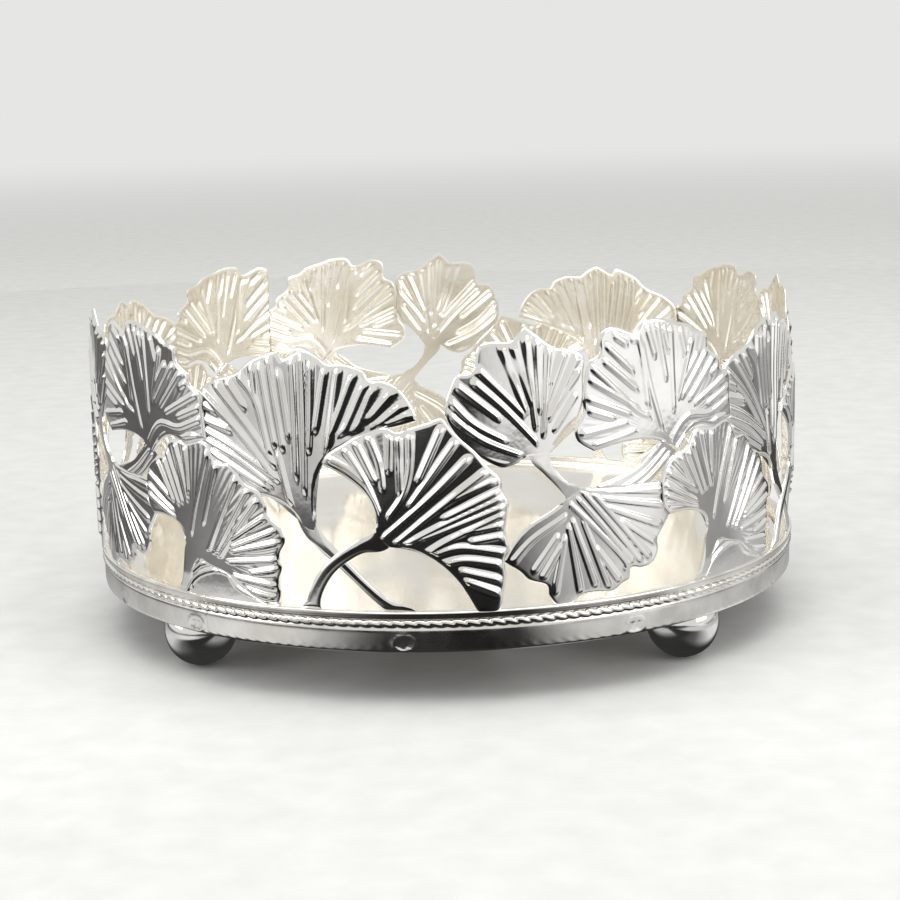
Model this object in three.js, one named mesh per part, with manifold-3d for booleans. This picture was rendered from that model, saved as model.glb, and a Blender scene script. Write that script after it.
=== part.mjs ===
// Round silver-plated tray on four ball feet, fenced by a tall pierced gallery of ginkgo leaves.
// Millimetres, +Z up, the table at z = 0, the tray's axis on the Z axis, its front towards -Y.
import * as THREE from "three";
import { mergeVertices } from "three/addons/utils/BufferGeometryUtils.js";
import Module from "manifold-3d";

const wasm = await Module();
wasm.setup();

// Driving sizes of the whole tray. A ball foot reaches up inside the band by the nest depth.
const galleryRadius = 100;
const ballRadius = 9.7;
const ballNestDepth = 5.4;
const bandBottomHeight = 2 * ballRadius - ballNestDepth;
const seatClearance = 0.3;
const roundSegments = 60;

// The gallery sheet: its thickness and the lift of its pressed ribs.
const sheetThickness = 1;
const ribLift = 1.1;

// The rows of points across a leaf: how far each lies from foot to rim, how much of the rib's lift it has,
// and whether it crosses the plain foot, the place where the veins fork or the ribs themselves.
const leafRows = [
  { place: 0, lift: 0.4, veins: "foot" },
  { place: 0.12, lift: 0.4, veins: "foot" },
  { place: 0.38, lift: 0, veins: "forked" },
  { place: 1, lift: 1, veins: "ribbed" },
];
const scallopReach = 0.5;

// The outlines are drawn on a gallery of this radius over a band of this height, and grow with the real one.
const drawnRadius = 100;
const drawnStripTop = 10.6;

// The leaf pattern repeats four times and ends in a short closing length of the same pattern.
const repeatCount = 4;
const repeatAngle = THREE.MathUtils.degToRad(84.2);
const closingAngle = 2 * Math.PI - repeatCount * repeatAngle;
const firstJointPlace = -66.5;
const repeatLength = repeatAngle * drawnRadius;

// The plain band under the leaves: heights are above its lower edge, reaches are from the gallery face.
const stripTop = 10.6;
const stripReach = 0.8;
const stripEdgeRounding = 0.5;
const stripBackLap = 0.2;
const grooveHeight = 8.6;
const grooveReach = -0.3;
const ropeReach = 0.7;
const ropeBottom = 6;
const skirtBulge = 0.25;
const skirtHeight = 3.4;
const lowerEdgeReach = -1.6;
const innerEdgeRise = 0.4;
const bandWallDepth = 2.8;
const bandInnerRadius = galleryRadius - bandWallDepth;

// The floor pan inside the band, with its edge turned down.
const floorTop = 8.2;
const floorLipRise = 0.6;
const panThickness = 1;
const panCornerRadius = 1.2;
const panSkirtBottom = 2.4;

// The ball feet stand in two opposite pairs, each clear of the band's wall where it rises past the lower edge.
const frontFootTurns = [-49, 44.3].map(THREE.MathUtils.degToRad);
const ballReachAtBand = Math.sqrt(ballRadius ** 2 - (bandBottomHeight - ballRadius) ** 2);
const footCircleRadius = bandInnerRadius - seatClearance - ballReachAtBand;
const neckRadius = 3.4;
const ballBands = 7;
const footSegments = 16;

// Each leaf is read off the unrolled gallery: along the face, then above the band's lower edge.
// base: the two sides of its foot; leftEdge and rightEdge: its margins from foot to rim; rim: its outline.
const broadLeaf = {
  ribs: 13,
  level: 0,
  base: [[-36, 31.6], [-33, 30]],
  leftEdge: [[-40.5, 36.3], [-46, 38.4]],
  rim: [[-53.5, 39.4], [-60.5, 43.4], [-66, 50], [-66.6, 57], [-66.6, 63.6], [-61.5, 67.2], [-54.5, 69.3],
    [-50, 72.6], [-45, 74.6], [-42, 75.2], [-40.5, 73.4], [-37.5, 74.8], [-34.8, 75.7], [-31.5, 74.3],
    [-28.8, 72.4], [-24, 72.3], [-19.5, 70.6], [-18, 68.3], [-14.5, 68.2], [-10.5, 66], [-7.4, 61.5],
    [-6.5, 58.3]],
  rightEdge: [[-33.4, 37.5], [-32.4, 44.5], [-28, 50.5], [-18, 55]],
};
const frontLeaf = {
  ribs: 13,
  level: 0.75,
  base: [[-17.3, 30.5], [-14, 27.2]],
  leftEdge: [[-17.6, 35.5], [-19.8, 40.3], [-24.3, 44.3]],
  rim: [[-30.6, 47.6], [-29.4, 50], [-25.5, 52.4], [-21.5, 54.8], [-17.5, 56.2], [-14.5, 57], [-11.5, 55.8],
    [-8, 56.9], [-4, 58], [-0.5, 59], [1.8, 56.2], [4, 53.8], [7.5, 50.5], [10.5, 46.6], [13.4, 43.6],
    [13.8, 40.5], [15.3, 37.6], [15, 34.2], [14.4, 30], [15.3, 26], [14, 23], [14.3, 19], [13.7, 15.5],
    [12.3, 10.2], [7.2, 10]],
  rightEdge: [[-8, 26.3], [-2, 22.8], [3, 17.5]],
};
const peakedLeaf = {
  ribs: 12,
  level: 0.4,
  base: [[20.5, 49.2], [26, 49.3]],
  leftEdge: [[17.5, 46.9], [13.5, 46.2], [9, 48.6]],
  rim: [[4.5, 52], [1, 57.5], [0.3, 61.5], [1.4, 65.5], [3.4, 69.3], [7.3, 70.3], [8.6, 75.8], [11.5, 77.2],
    [16.5, 77.1], [18.3, 78.6], [20.5, 80.3], [23, 78.6], [27.5, 75.3], [32, 74.4], [35.3, 72.2], [35, 67],
    [35, 61.5], [33.5, 57.3]],
  rightEdge: [[28, 52], [30.5, 55]],
};
const hangingLeaf = {
  ribs: 11,
  level: 0.1,
  base: [[30, 37], [34, 39.5]],
  leftEdge: [[26.5, 34.6], [20.5, 31.3], [16.5, 27.3]],
  rim: [[13.6, 22.5], [18, 19.6], [20.5, 17.2], [24.8, 15.6], [25.4, 13], [27.5, 10], [31, 10], [34, 12.1],
    [38, 12.4], [42.5, 12.1], [45.5, 13.8], [47.6, 14.8], [48.2, 17.4], [51.5, 17], [55, 18], [56.6, 21],
    [56.5, 24], [58.6, 27], [60.5, 30], [61, 34.5], [60, 38.5]],
  rightEdge: [[44, 38.8], [52, 38.8]],
};
const stripedTie = {
  ribs: 3,
  level: 0.25,
  base: [[58.5, 49], [62.5, 45.6]],
  leftEdge: [[54.5, 46.7], [49, 42.6]],
  rim: [[41.5, 39.8], [42.5, 37.5], [46, 36.3], [49, 36.5]],
  rightEdge: [[58.5, 41.8], [54, 38.6]],
};
const upperLeaf = {
  ribs: 14,
  level: 0.95,
  base: [[60, 47.8], [62.5, 46.5]],
  leftEdge: [[54, 49.8], [46, 50]],
  rim: [[37.5, 48.6], [33.2, 51.5], [32.6, 55], [34.8, 58.5], [34.6, 62], [35.2, 66.5], [36.3, 70.8],
    [39.3, 72.8], [39.6, 77.5], [43.5, 79], [49.3, 77.2], [52, 79.8], [57, 80], [61.5, 78.8], [66.2, 77.6],
    [69, 75.8], [73, 74.6], [73.6, 70.8], [77.8, 68], [78.4, 65.4], [82, 63.5], [82.4, 58.5], [83, 51.8]],
  rightEdge: [[66.5, 50.2], [70.5, 51.5], [75.5, 50.3], [80, 51.3]],
};
const footLeaf = {
  ribs: 13,
  level: 0.6,
  base: [[73.8, 23.5], [77.5, 20.5]],
  leftEdge: [[72.4, 27.3], [69, 29.2], [64.5, 29.9]],
  rim: [[60, 29.6], [57.6, 33], [57.4, 39], [59.5, 43], [63, 45.3], [66, 46.3], [68.5, 50], [72, 50.8],
    [75.5, 50.2], [80.5, 51.5], [83.5, 50.2], [84.8, 47.6], [87, 46.2], [89.5, 46.4], [92, 44.4],
    [94.5, 41.4], [98, 40], [100.3, 37], [101, 33.5], [104.5, 30.5], [105.4, 27.5], [103.7, 24],
    [104.2, 20.5], [103.2, 17.5], [103.6, 14], [102.8, 11.2]],
  rightEdge: [[82, 18.6], [88, 17], [92.5, 14], [97.5, 11.6]],
};

// Stems and straps: points down the middle with the width there.
const stems = [
  {
    level: 0.2,
    line: [[-34.6, 32, 4.2], [-31.5, 27.8, 3.4], [-27, 23.2, 2.6], [-22.5, 18.8, 2.2], [-17.5, 14.2, 3],
      [-12.6, 9, 7]],
  },
  {
    level: 0.5,
    line: [[-35, 9.2, 3.8], [-33.6, 15, 3.2], [-30.2, 20.6, 3.2], [-26, 24.4, 3.2], [-21, 27.4, 3.2],
      [-14.8, 29.4, 4.4]],
  },
  { level: 0.2, line: [[23.3, 50, 5.4], [26.6, 44.6, 3.6], [29.5, 40, 3.4], [32, 37, 3.8]] },
  { level: 0.5, line: [[72.6, 9.2, 3.4], [74, 16, 3.6], [75.8, 23.2, 5.2]] },
];
// The plain sheet left under the arch of the foot leaf, as its top line.
const archSheet = {
  level: 0.15,
  footHeight: 9.4,
  line: [[72.5, 11.5], [76.5, 15.4], [83.5, 18], [90, 16.8], [95, 13.2], [103, 11.4]],
};

// Places a point of the drawn, unrolled gallery on the round face, lifted outward.
function onFace(along, height, lift) {
  const turn = along / drawnRadius;
  const radius = galleryRadius + lift;
  const heightOverBand = stripTop + ((height - drawnStripTop) * galleryRadius) / drawnRadius;
  return [radius * Math.sin(turn), -radius * Math.cos(turn), bandBottomHeight + heightOverBand];
}

// Makes a solid from a closed list of vertices and triangles, turned so that it faces out.
function solidFrom(vertices, triangles) {
  let volume = 0;
  for (const [a, b, c] of triangles) {
    const p = new THREE.Vector3(...vertices[a]);
    const q = new THREE.Vector3(...vertices[b]);
    const r = new THREE.Vector3(...vertices[c]);
    volume += p.dot(q.cross(r));
  }
  const faces = volume > 0 ? triangles : triangles.map(([a, b, c]) => [a, c, b]);
  const mesh = new wasm.Mesh({
    numProp: 3,
    vertProperties: new Float32Array(vertices.flat()),
    triVerts: new Uint32Array(faces.flat()),
  });
  return new wasm.Manifold(mesh);
}

// Makes a solid from a three.js geometry after merging its shared corners.
function solidOf(geometry) {
  geometry.deleteAttribute("normal");
  geometry.deleteAttribute("uv");
  const merged = mergeVertices(geometry, 1e-4);
  const positions = merged.attributes.position;
  const vertices = [];
  for (let i = 0; i < positions.count; i++) {
    vertices.push([positions.getX(i), positions.getY(i), positions.getZ(i)]);
  }
  const triangles = [];
  for (let i = 0; i < merged.index.count; i += 3) {
    const corners = [merged.index.getX(i), merged.index.getX(i + 1), merged.index.getX(i + 2)];
    if (new Set(corners).size === 3) {
      triangles.push(corners);
    }
  }
  return solidFrom(vertices, triangles);
}

// A curved plate of sheet metal over rows of face points, each given as along, height and lift.
// Neighbouring rows may hold different numbers of points: the shorter row's points are spread over the longer's.
function plateSolid(rows) {
  const vertices = [];
  const starts = [[], []];
  [0, sheetThickness].forEach((under, side) => {
    for (const row of rows) {
      starts[side].push(vertices.length);
      for (const [along, height, lift] of row) {
        vertices.push(onFace(along, height, lift - under));
      }
    }
  });
  const triangles = [];
  const addFace = (side, a, b, c) => triangles.push(side === 0 ? [a, b, c] : [a, c, b]);
  for (let j = 0; j + 1 < rows.length; j++) {
    const lowLast = rows[j].length - 1;
    const highLast = rows[j + 1].length - 1;
    for (const side of [0, 1]) {
      const low = starts[side][j];
      const high = starts[side][j + 1];
      let i = 0;
      let k = 0;
      while (i < lowLast || k < highLast) {
        const lowIsNext = k === highLast || (i < lowLast && (i + 0.5) / lowLast <= (k + 0.5) / highLast);
        if (lowIsNext) {
          addFace(side, low + i, low + i + 1, high + k);
          i += 1;
        } else {
          addFace(side, low + i, high + k + 1, high + k);
          k += 1;
        }
      }
    }
  }
  const addWall = (a, b) => {
    const [outerA, outerB] = [starts[0][a[0]] + a[1], starts[0][b[0]] + b[1]];
    const [innerA, innerB] = [starts[1][a[0]] + a[1], starts[1][b[0]] + b[1]];
    triangles.push([outerB, outerA, innerA], [outerB, innerA, innerB]);
  };
  const top = rows.length - 1;
  for (let i = 0; i + 1 < rows[0].length; i++) {
    addWall([0, i], [0, i + 1]);
  }
  for (let i = rows[top].length - 1; i > 0; i--) {
    addWall([top, i], [top, i - 1]);
  }
  for (let j = 0; j < top; j++) {
    addWall([j, rows[j].length - 1], [j + 1, rows[j + 1].length - 1]);
    addWall([j + 1, 0], [j, 0]);
  }
  return solidFrom(vertices, triangles);
}

function smoothLine(points) {
  return new THREE.SplineCurve(points.map(([x, y]) => new THREE.Vector2(x, y)));
}

// One ginkgo leaf: a plain foot, then veins that fan out to the rim, every second one pressed up as a rib.
// The margins bend the veins next to them, and the rim bulges a little where a rib ends.
function leafSolid(leaf) {
  const footLeft = new THREE.Vector2(...leaf.base[0]);
  const footRight = new THREE.Vector2(...leaf.base[1]);
  const rimLine = smoothLine(leaf.rim);
  rimLine.arcLengthDivisions = 400;
  const rimLeft = rimLine.getPoint(0);
  const rimRight = rimLine.getPoint(1);
  const leftEdge = smoothLine([leaf.base[0], ...leaf.leftEdge, leaf.rim[0]]);
  const rightEdge = smoothLine([leaf.base[1], ...leaf.rightEdge, leaf.rim[leaf.rim.length - 1]]);
  const columnsOf = { foot: 2, forked: leaf.ribs, ribbed: 2 * leaf.ribs };
  const rows = leafRows.map(({ place, lift, veins }) => {
    const columns = columnsOf[veins];
    const row = [];
    for (let i = 0; i <= columns; i++) {
      const across = i / columns;
      const isRib = i % 2 === 1 && veins !== "forked";
      const foot = footLeft.clone().lerp(footRight, across);
      const rim = rimLine.getPointAt(across);
      if (i > 0 && i < columns) {
        const outward = rim.clone().sub(foot).normalize();
        rim.addScaledVector(outward, isRib ? scallopReach : -scallopReach);
      }
      const point = foot.clone().lerp(rim, place);
      const leftBend = leftEdge.getPointAt(place).sub(footLeft.clone().lerp(rimLeft, place));
      const rightBend = rightEdge.getPointAt(place).sub(footRight.clone().lerp(rimRight, place));
      point.addScaledVector(leftBend, (1 - across) ** 4);
      point.addScaledVector(rightBend, across ** 4);
      row.push([point.x, point.y, leaf.level + (isRib ? ribLift * lift : 0)]);
    }
    return row;
  });
  return plateSolid(rows);
}

// A stem: a strap with a raised middle line, wider or narrower along its run.
function stemSolid(stem) {
  const middle = smoothLine(stem.line);
  const steps = stem.line.length;
  const rows = [];
  for (let j = 0; j <= steps; j++) {
    const place = j / steps;
    const point = middle.getPoint(place);
    const forward = middle.getTangent(place);
    const span = place * (stem.line.length - 1);
    const before = Math.min(Math.floor(span), stem.line.length - 2);
    const width = THREE.MathUtils.lerp(stem.line[before][2], stem.line[before + 1][2], span - before);
    rows.push([0.5, 0, -0.5].map((side) => {
      const lift = stem.level + (side === 0 ? ribLift : 0);
      return [point.x - forward.y * width * side, point.y + forward.x * width * side, lift];
    }));
  }
  return plateSolid(rows);
}

// The plain sheet under an arch, from inside the strip up to its top line.
function archSolid(sheet) {
  const top = smoothLine(sheet.line);
  const steps = top.points.length - 1;
  const foot = [];
  const arch = [];
  for (let i = 0; i <= steps; i++) {
    const point = top.getPoint(i / steps);
    foot.push([point.x, sheet.footHeight, sheet.level]);
    arch.push([point.x, point.y, sheet.level]);
  }
  return plateSolid([foot, arch]);
}

// The whole ring of the band, turned from its section.
function bandRingSolid() {
  const stripBackRadius = galleryRadius - sheetThickness - stripBackLap;
  const section = [
    [bandInnerRadius, innerEdgeRise],
    [galleryRadius + lowerEdgeReach, 0],
    [galleryRadius + skirtBulge, skirtHeight],
    [galleryRadius, ropeBottom],
    [galleryRadius + ropeReach, (ropeBottom + grooveHeight) / 2],
    [galleryRadius + grooveReach, grooveHeight],
    [galleryRadius + stripReach, (grooveHeight + stripTop) / 2],
    [galleryRadius + stripReach - stripEdgeRounding, stripTop],
    [stripBackRadius, stripTop],
    [stripBackRadius, floorTop + floorLipRise],
    [bandInnerRadius, floorTop - panCornerRadius],
    [bandInnerRadius, innerEdgeRise],
  ];
  const points = section.map(([radius, height]) => new THREE.Vector2(radius, height));
  const ring = new THREE.LatheGeometry(points, roundSegments);
  ring.rotateX(Math.PI / 2);
  ring.translate(0, 0, bandBottomHeight);
  return solidOf(ring);
}

// A wedge of space from the tray's axis outwards, between two turns, less half a joint gap at each.
function wedgeSolid(fromTurn, toTurn) {
  const reach = 2 * galleryRadius;
  const halfGap = seatClearance / 2 / galleryRadius;
  const start = fromTurn + halfGap;
  const end = toTurn - halfGap;
  const outline = new THREE.Shape();
  outline.moveTo(0, 0);
  for (let i = 0; i <= 4; i++) {
    const turn = THREE.MathUtils.lerp(start, end, i / 4);
    outline.lineTo(reach * Math.sin(turn), -reach * Math.cos(turn));
  }
  return solidOf(new THREE.ExtrudeGeometry(outline, { depth: 2 * galleryRadius, bevelEnabled: false }));
}

// One length of the gallery with its piece of band, as a single pressed sheet.
function galleryGeometry(fromTurn, toTurn) {
  const shiftBack = (leaf) => {
    const shifted = (points) => points.map(([x, y]) => [x - repeatLength, y]);
    return {
      ...leaf,
      base: shifted(leaf.base),
      leftEdge: shifted(leaf.leftEdge),
      rim: shifted(leaf.rim),
      rightEdge: shifted(leaf.rightEdge),
    };
  };
  const arches = [
    archSheet,
    { ...archSheet, line: archSheet.line.map(([x, y]) => [x - repeatLength, y]) },
  ];
  const leaves = [
    broadLeaf, frontLeaf, peakedLeaf, hangingLeaf, stripedTie, upperLeaf, footLeaf, shiftBack(footLeaf),
  ];
  const bodies = [...leaves.map(leafSolid), ...stems.map(stemSolid), ...arches.map(archSolid)];
  let whole = bandRingSolid();
  for (const body of bodies) {
    whole = whole.add(body);
  }
  return geometryOf(whole.intersect(wedgeSolid(fromTurn, toTurn)));
}

// The small hollows shut in where one leaf lies over another are filled: each shell that faces inward goes.
function geometryOf(solid) {
  const outerShells = solid.decompose().filter((shell) => shell.volume() > 0);
  const mesh = outerShells.reduce((whole, shell) => whole.add(shell)).getMesh();
  const geometry = new THREE.BufferGeometry();
  geometry.setAttribute("position", new THREE.BufferAttribute(new Float32Array(mesh.vertProperties), 3));
  geometry.setIndex(new THREE.BufferAttribute(new Uint32Array(mesh.triVerts), 1));
  geometry.computeVertexNormals();
  return geometry;
}

// The floor: a flat disc with a rounded shoulder and a short skirt that stands inside the band.
function panGeometry() {
  const outer = bandInnerRadius - seatClearance;
  const section = [
    [0, floorTop],
    [outer - panCornerRadius, floorTop],
    [outer, floorTop - panCornerRadius],
    [outer, panSkirtBottom],
    [outer - panThickness, panSkirtBottom],
    [outer - panThickness, floorTop - panThickness - panCornerRadius],
    [outer - panThickness - panCornerRadius, floorTop - panThickness],
    [0, floorTop - panThickness],
  ];
  const points = section.reverse().map(([radius, height]) => new THREE.Vector2(radius, height));
  const geometry = new THREE.LatheGeometry(points, roundSegments);
  geometry.rotateX(Math.PI / 2);
  return geometry;
}

// A polished ball with a short round neck that reaches up to the underside of the floor.
function footGeometry() {
  const neckTop = bandBottomHeight + floorTop - panThickness - seatClearance;
  const neckTurn = Math.PI - Math.asin(neckRadius / ballRadius);
  const points = [new THREE.Vector2(0, 0)];
  for (let i = 1; i <= ballBands; i++) {
    const turn = (neckTurn * i) / ballBands;
    points.push(new THREE.Vector2(ballRadius * Math.sin(turn), ballRadius * (1 - Math.cos(turn))));
  }
  points.push(new THREE.Vector2(neckRadius, neckTop));
  points.push(new THREE.Vector2(0, neckTop));
  const geometry = new THREE.LatheGeometry(points, footSegments);
  geometry.rotateX(Math.PI / 2);
  return geometry;
}

function namedMesh(name, geometry, material) {
  const mesh = new THREE.Mesh(geometry, material);
  mesh.name = name;
  return mesh;
}

const silverPlate = new THREE.MeshStandardMaterial({ color: "#d8d8d6", roughness: 0.16, metalness: 1 });
const floorPlate = new THREE.MeshStandardMaterial({ color: "#e6dfcf", roughness: 0.1, metalness: 1 });

const tray = new THREE.Group();

const pan = namedMesh("base_pan", panGeometry(), floorPlate);
pan.position.z = bandBottomHeight;
tray.add(pan);

const firstJointTurn = firstJointPlace / drawnRadius;
const panelGeometry = galleryGeometry(firstJointTurn, firstJointTurn + repeatAngle);
for (let i = 0; i < repeatCount; i++) {
  const panel = namedMesh(`gallery_panel_${i + 1}`, panelGeometry, silverPlate);
  const pastClosingPiece = i === repeatCount - 1 ? closingAngle : 0;
  panel.rotation.z = i * repeatAngle + pastClosingPiece;
  tray.add(panel);
}

const panelEnd = firstJointTurn + repeatAngle;
const closingGeometry = galleryGeometry(panelEnd - closingAngle, panelEnd);
const closingPiece = namedMesh("gallery_closing_piece", closingGeometry, silverPlate);
closingPiece.rotation.z = (repeatCount - 2) * repeatAngle + closingAngle;
tray.add(closingPiece);

const oneFoot = footGeometry();
const footTurns = [...frontFootTurns, ...frontFootTurns.map((turn) => turn + Math.PI)];
footTurns.forEach((turn, i) => {
  const foot = namedMesh(`ball_foot_${i + 1}`, oneFoot, silverPlate);
  foot.position.set(footCircleRadius * Math.sin(turn), -footCircleRadius * Math.cos(turn), 0);
  tray.add(foot);
});

export default tray;
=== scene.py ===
# Round silver-plated tray: a tall pierced gallery of ginkgo leaves on a plain roped band, four ball feet.
# Metres, Z up, the table at z = 0, the tray's axis on the Z axis, its front towards -Y.
import math

import bmesh
import bpy
import numpy as np
from mathutils import Matrix


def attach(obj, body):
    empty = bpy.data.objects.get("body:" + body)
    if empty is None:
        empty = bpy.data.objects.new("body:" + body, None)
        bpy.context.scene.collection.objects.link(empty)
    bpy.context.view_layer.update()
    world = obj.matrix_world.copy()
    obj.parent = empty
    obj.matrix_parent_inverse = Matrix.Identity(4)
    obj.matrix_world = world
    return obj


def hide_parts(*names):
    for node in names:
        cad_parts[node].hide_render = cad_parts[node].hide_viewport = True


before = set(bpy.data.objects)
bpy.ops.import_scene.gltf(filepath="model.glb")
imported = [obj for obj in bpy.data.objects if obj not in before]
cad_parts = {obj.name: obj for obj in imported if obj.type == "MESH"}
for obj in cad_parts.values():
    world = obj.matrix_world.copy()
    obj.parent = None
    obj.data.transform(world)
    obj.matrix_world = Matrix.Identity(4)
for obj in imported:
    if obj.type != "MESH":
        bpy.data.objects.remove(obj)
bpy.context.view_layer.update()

allNodes = sorted(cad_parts)
galleryNodes = [name for name in allNodes if name.startswith("gallery")]
print("frame loaded:", len(allNodes), "nodes")

mm = 0.001

# Sizes that several pieces share, in millimetres; heights on the gallery count from the band's lower edge.
shared = {
    "faceRadius": 100.0,
    "bandBottom": 14.0,
    "sheet": 0.7,
    "repeatTurn": math.radians(84.2),
    "repeats": 4,
    "firstJoint": -66.5,
}
shared["repeatLength"] = shared["repeatTurn"] * shared["faceRadius"]
shared["closingTurn"] = 2 * math.pi - shared["repeats"] * shared["repeatTurn"]


# Materials.
def linearColour(hexText):
    # sRGB to linear: c / 12.92 up to 0.04045, else ((c + 0.055) / 1.055) to the power 2.4
    parts = [int(hexText[i:i + 2], 16) / 255 for i in (1, 3, 5)]
    return tuple(c / 12.92 if c <= 0.04045 else ((c + 0.055) / 1.055) ** 2.4 for c in parts) + (1.0,)


def addNode(tree, kind, settings=(), inputs=(), links=()):
    # adds one shader node, sets its properties and sockets, and joins sockets to the outputs given in links
    node = tree.nodes.new("ShaderNode" + kind)
    for name, value in dict(settings).items():
        setattr(node, name, value)
    for name, value in dict(inputs).items():
        node.inputs[name].default_value = value
    for name, source in dict(links).items():
        tree.links.new(source, node.inputs[name])
    return node


def newTree(owner):
    # the emptied node tree of a material or world
    owner.use_nodes = True
    owner.node_tree.nodes.clear()
    return owner.node_tree


def rampStops(ramp, stops):
    # a colour ramp with just these stops, each a place from 0 to 1 and its colour
    while len(ramp.elements) > 1:
        ramp.elements.remove(ramp.elements[-1])
    for i, (place, colour) in enumerate(stops):
        element = ramp.elements[0] if i == 0 else ramp.elements.new(place)
        element.position = place
        element.color = colour if len(colour) == 4 else (*colour, 1.0)


# What the platings share unless one says otherwise: where the cloud turns from shade to colour and from dull
# to bright, the noises' detail, and the depth and size in millimetres of press dents and polishing lines.
platingLook = {
    "tintStops": (0.36, 0.6), "roughStops": (0.3, 0.7), "cloudDetail": 3.0, "fineDetail": 2.0,
    "dentDepth": 0.03, "lineSize": 0.5, "lineStretch": (1, 1, 0.25), "lineDepth": 0.002,
}


def platedMetal(name, look):
    # metal with a cloudy tint, a roughness that drifts, fine polishing lines and soft dents from the press
    look = {**platingLook, **look}
    material = bpy.data.materials.new(name)
    tree = newTree(material)
    place = addNode(tree, "TexCoord").outputs["Object"]
    cloud = addNode(tree, "TexNoise", links={"Vector": place},
                    inputs={"Scale": 1 / (look["cloudSize"] * mm), "Detail": look["cloudDetail"]})
    tint = addNode(tree, "ValToRGB", links={"Fac": cloud.outputs["Fac"]})
    tints = (linearColour(look["shade"]), linearColour(look["colour"]))
    rampStops(tint.color_ramp, zip(look["tintStops"], tints))
    dull, bright = look["roughStops"]
    low, high = look["roughness"]
    rough = addNode(tree, "MapRange", links={"Value": cloud.outputs["Fac"]},
                    inputs={"From Min": dull, "From Max": bright, "To Min": low, "To Max": high})
    dents = addNode(tree, "TexNoise", links={"Vector": place},
                    inputs={"Scale": 1 / (look["dentSize"] * mm), "Detail": look["fineDetail"]})
    stretched = addNode(tree, "Mapping", links={"Vector": place}, inputs={"Scale": look["lineStretch"]})
    lines = addNode(tree, "TexNoise", links={"Vector": stretched.outputs["Vector"]},
                    inputs={"Scale": 1 / (look["lineSize"] * mm), "Detail": look["fineDetail"]})
    pressed = addNode(tree, "Bump", inputs={"Strength": 1.0, "Distance": look["dentDepth"] * mm},
                      links={"Height": dents.outputs["Fac"]})
    polished = addNode(tree, "Bump", inputs={"Strength": 1.0, "Distance": look["lineDepth"] * mm},
                       links={"Height": lines.outputs["Fac"], "Normal": pressed.outputs["Normal"]})
    shader = addNode(tree, "BsdfPrincipled", inputs={"Metallic": 1.0},
                     links={"Base Color": tint.outputs["Color"], "Roughness": rough.outputs["Result"],
                            "Normal": polished.outputs["Normal"]})
    addNode(tree, "OutputMaterial", links={"Surface": shader.outputs["BSDF"]})
    return material


# Bright silver plate on pressed sheet iron, polished after plating: near-white, a mirror with press marks.
silverPlate = platedMetal("silver plate, pressed and polished", {
    "colour": "#F6F5F2", "shade": "#E9E7E2", "cloudSize": 14, "roughness": (0.05, 0.11),
    "dentSize": 3.5,
})
# The same plate on the inner face, with a warmer cast, a little lighter and less glossy than the outside.
innerPlate = platedMetal("silver plate, inner face, warm cast", {
    "colour": "#FAF7F0", "shade": "#F4EFE4", "cloudSize": 12, "roughness": (0.2, 0.32),
    "dentSize": 3.0,
})
# Rolled sheet for the floor, plated and buffed: a warm mirror with faint clouds.
floorPlate = platedMetal("silver plate, buffed flat floor", {
    "colour": "#EDEAE4", "shade": "#E8E3DB", "cloudSize": 26, "roughness": (0.08, 0.18),
    "dentSize": 9.0, "dentDepth": 0.02, "lineSize": 0.6, "lineStretch": (1, 0.12, 1), "lineDepth": 0.0015,
})
# Turned iron balls, plated in a barrel: as bright as the gallery, and slightly uneven.
ballPlate = platedMetal("silver plate, barrel-plated turned ball", {
    "colour": "#F4F3F0", "shade": "#E6E5E1", "cloudSize": 6, "roughness": (0.06, 0.12),
    "dentSize": 2.5, "dentDepth": 0.02, "lineSize": 0.3, "lineStretch": (1, 1, 3),
})
# The band is rolled from thicker strip: the same plate, with marks drawn along its length.
bandPlate = platedMetal("silver plate, rolled band", {
    "colour": "#F3F1EC", "shade": "#DEDBD4", "cloudSize": 10, "roughness": (0.08, 0.2),
    "dentSize": 4.0, "lineSize": 0.4, "lineStretch": (0.3, 0.3, 1), "lineDepth": 0.003,
})
print("materials made")


# Surfaces.
def easedStep(share):
    # 3x^2 - 2x^3 between 0 and 1
    share = np.clip(share, 0, 1)
    return share * share * (3 - 2 * share)


def fullTurn(steps):
    # evenly spaced turns all the way round
    return np.linspace(0, 2 * np.pi, steps, endpoint=False)


def onFace(along, height, lift):
    # wraps the unrolled gallery on its cylinder: turn = along / radius, reach = radius + lift
    turn = along / shared["faceRadius"]
    reach = shared["faceRadius"] + lift
    return np.stack([reach * np.sin(turn), -reach * np.cos(turn), height + shared["bandBottom"]], -1)


def smoothLine(points, places):
    # Catmull-Rom curve: on each span a cubic whose end slopes are half the step between the neighbours
    points = np.asarray(points, float)
    places = np.clip(np.asarray(places, float), 0, 1)
    last = len(points) - 1
    first = np.minimum((places * last).astype(int), last - 1)
    t = (places * last - first)[..., None]
    before, here = points[np.maximum(first - 1, 0)], points[first]
    after, beyond = points[first + 1], points[np.minimum(first + 2, last)]
    slopeHere, slopeAfter = (after - before) / 2, (beyond - here) / 2
    return ((2 * here - 2 * after + slopeHere + slopeAfter) * t ** 3
            + (3 * after - 3 * here - 2 * slopeHere - slopeAfter) * t ** 2 + slopeHere * t + here)


def evenPlaces(points, shares, samples=900):
    # the curve places at equal shares of its length, read off its summed chords
    fine = np.linspace(0, 1, samples)
    line = smoothLine(points, fine)
    length = np.concatenate([[0], np.cumsum(np.linalg.norm(np.diff(line, axis=0), axis=1))])
    return np.interp(np.asarray(shares) * length[-1], length, fine), length[-1]


def standing(name, data):
    # an object that holds the data, at the origin, in the scene
    holder = bpy.data.objects.new(name, data)
    bpy.context.scene.collection.objects.link(holder)
    return holder


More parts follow.
